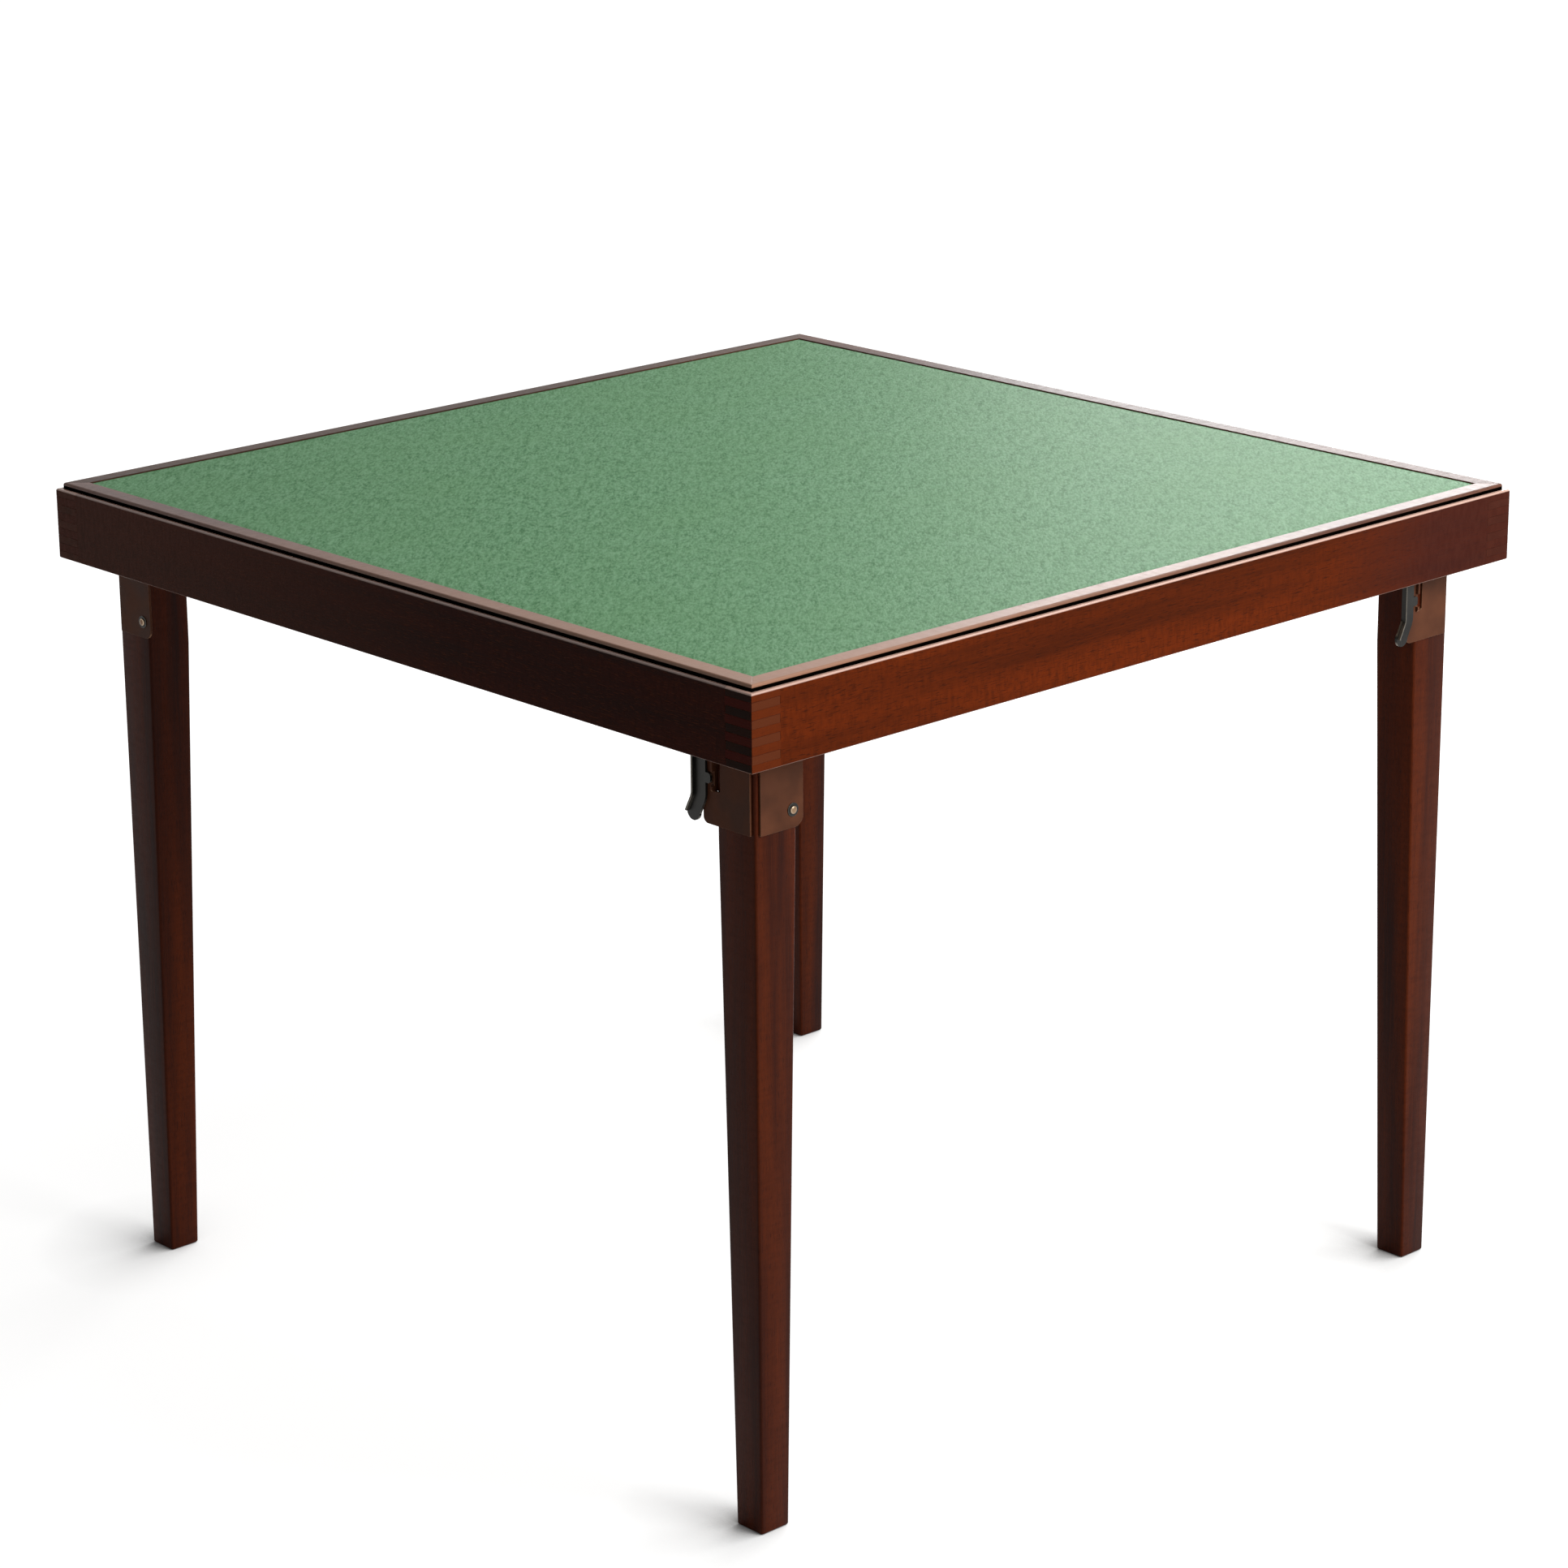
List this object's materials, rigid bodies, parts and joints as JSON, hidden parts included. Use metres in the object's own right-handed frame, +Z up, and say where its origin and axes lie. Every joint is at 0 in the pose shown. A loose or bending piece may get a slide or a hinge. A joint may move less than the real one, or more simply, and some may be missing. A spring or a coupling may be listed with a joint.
{
  "type": "folding card table",
  "caption": "Square folding card table: baize top inlaid in a raised wooden lipping, box-jointed apron, tapered legs that fold under it on steel brackets with catch levers.",
  "frame": {"origin": "on the floor, under the middle of the top", "axes": "+Z up, square to the playing surface; +X and +Y along the apron rails; the front rail is at -Y"},
  "size_m": [0.86, 0.86, 0.69],
  "materials": {
    "apron_wood": "reddish mahogany, satin lacquer, with visible fine pores",
    "lipping_wood": "mahogany moulding, satin lacquer",
    "leg_wood": "dark reddish mahogany, satin lacquer",
    "board_ply": "bare birch plywood",
    "baize_cloth": "green wool baize, short matted nap",
    "bronzed_steel": "steel sheet with an aged bronze finish",
    "blackened_steel": "oil-blackened steel",
    "fastener_steel": "darkened steel rivets",
    "spring_steel": "blued spring steel"
  },
  "bodies": {
    "frame": {"rail_front": "apron_wood", "rail_right": "apron_wood", "rail_back": "apron_wood", "rail_left": "apron_wood", "lipping_front": "lipping_wood", "lipping_right": "lipping_wood", "lipping_back": "lipping_wood", "lipping_left": "lipping_wood", "top_board": "board_ply", "baize": "baize_cloth", "hinge_bracket_front_left": "bronzed_steel", "pivot_pin_front_left": "blackened_steel", "pivot_spacer_front_left": "blackened_steel", "hinge_bracket_front_right": "bronzed_steel", "pivot_pin_front_right": "blackened_steel", "pivot_spacer_front_right": "blackened_steel", "hinge_bracket_back_right": "bronzed_steel", "pivot_pin_back_right": "blackened_steel", "pivot_spacer_back_right": "blackened_steel", "hinge_bracket_back_left": "bronzed_steel", "pivot_pin_back_left": "blackened_steel", "pivot_spacer_back_left": "blackened_steel"},
    "front_left_leg": {"leg_front_left": "leg_wood", "side_plate_front_left": "bronzed_steel", "plate_rivet_front_left": "fastener_steel", "catch_plate_front_left": "bronzed_steel", "lever_rivet_front_left": "fastener_steel"},
    "front_left_catch": {"catch_lever_front_left": "blackened_steel", "lever_spring_front_left": "spring_steel"},
    "front_right_leg": {"leg_front_right": "leg_wood", "side_plate_front_right": "bronzed_steel", "plate_rivet_front_right": "fastener_steel", "catch_plate_front_right": "bronzed_steel", "lever_rivet_front_right": "fastener_steel"},
    "front_right_catch": {"catch_lever_front_right": "blackened_steel", "lever_spring_front_right": "spring_steel"},
    "back_right_leg": {"leg_back_right": "leg_wood", "side_plate_back_right": "bronzed_steel", "plate_rivet_back_right": "fastener_steel", "catch_plate_back_right": "bronzed_steel", "lever_rivet_back_right": "fastener_steel"},
    "back_right_catch": {"catch_lever_back_right": "blackened_steel", "lever_spring_back_right": "spring_steel"},
    "back_left_leg": {"leg_back_left": "leg_wood", "side_plate_back_left": "bronzed_steel", "plate_rivet_back_left": "fastener_steel", "catch_plate_back_left": "bronzed_steel", "lever_rivet_back_left": "fastener_steel"},
    "back_left_catch": {"catch_lever_back_left": "blackened_steel", "lever_spring_back_left": "spring_steel"}
  },
  "joints": [
    {"name": "front_left_fold", "type": "hinge", "parent": "frame", "child": "front_left_leg", "pos_m": [-0.375, -0.375, 0.654], "axis": [0, -1, 0], "range_deg": [0, 90]},
    {"name": "front_left_release", "type": "hinge", "parent": "front_left_leg", "child": "front_left_catch", "pos_m": [-0.3977, -0.3457, 0.632], "axis": [1, 0, 0], "range_deg": [0, 10], "stiffness_Nm_per_rad": 0.2, "springref_deg": -8.59},
    {"name": "front_right_fold", "type": "hinge", "parent": "frame", "child": "front_right_leg", "pos_m": [0.375, -0.375, 0.654], "axis": [1, 0, 0], "range_deg": [0, 90]},
    {"name": "front_right_release", "type": "hinge", "parent": "front_right_leg", "child": "front_right_catch", "pos_m": [0.3457, -0.3977, 0.632], "axis": [0, 1, 0], "range_deg": [0, 10], "stiffness_Nm_per_rad": 0.2, "springref_deg": -8.59},
    {"name": "back_right_fold", "type": "hinge", "parent": "frame", "child": "back_right_leg", "pos_m": [0.375, 0.375, 0.654], "axis": [0, 1, 0], "range_deg": [0, 90]},
    {"name": "back_right_release", "type": "hinge", "parent": "back_right_leg", "child": "back_right_catch", "pos_m": [0.3977, 0.3457, 0.632], "axis": [-1, 0, 0], "range_deg": [0, 10], "stiffness_Nm_per_rad": 0.2, "springref_deg": -8.59},
    {"name": "back_left_fold", "type": "hinge", "parent": "frame", "child": "back_left_leg", "pos_m": [-0.375, 0.375, 0.654], "axis": [-1, 0, 0], "range_deg": [0, 90]},
    {"name": "back_left_release", "type": "hinge", "parent": "back_left_leg", "child": "back_left_catch", "pos_m": [-0.3457, 0.3977, 0.632], "axis": [0, -1, 0], "range_deg": [0, 10], "stiffness_Nm_per_rad": 0.2, "springref_deg": -8.59}
  ]
}
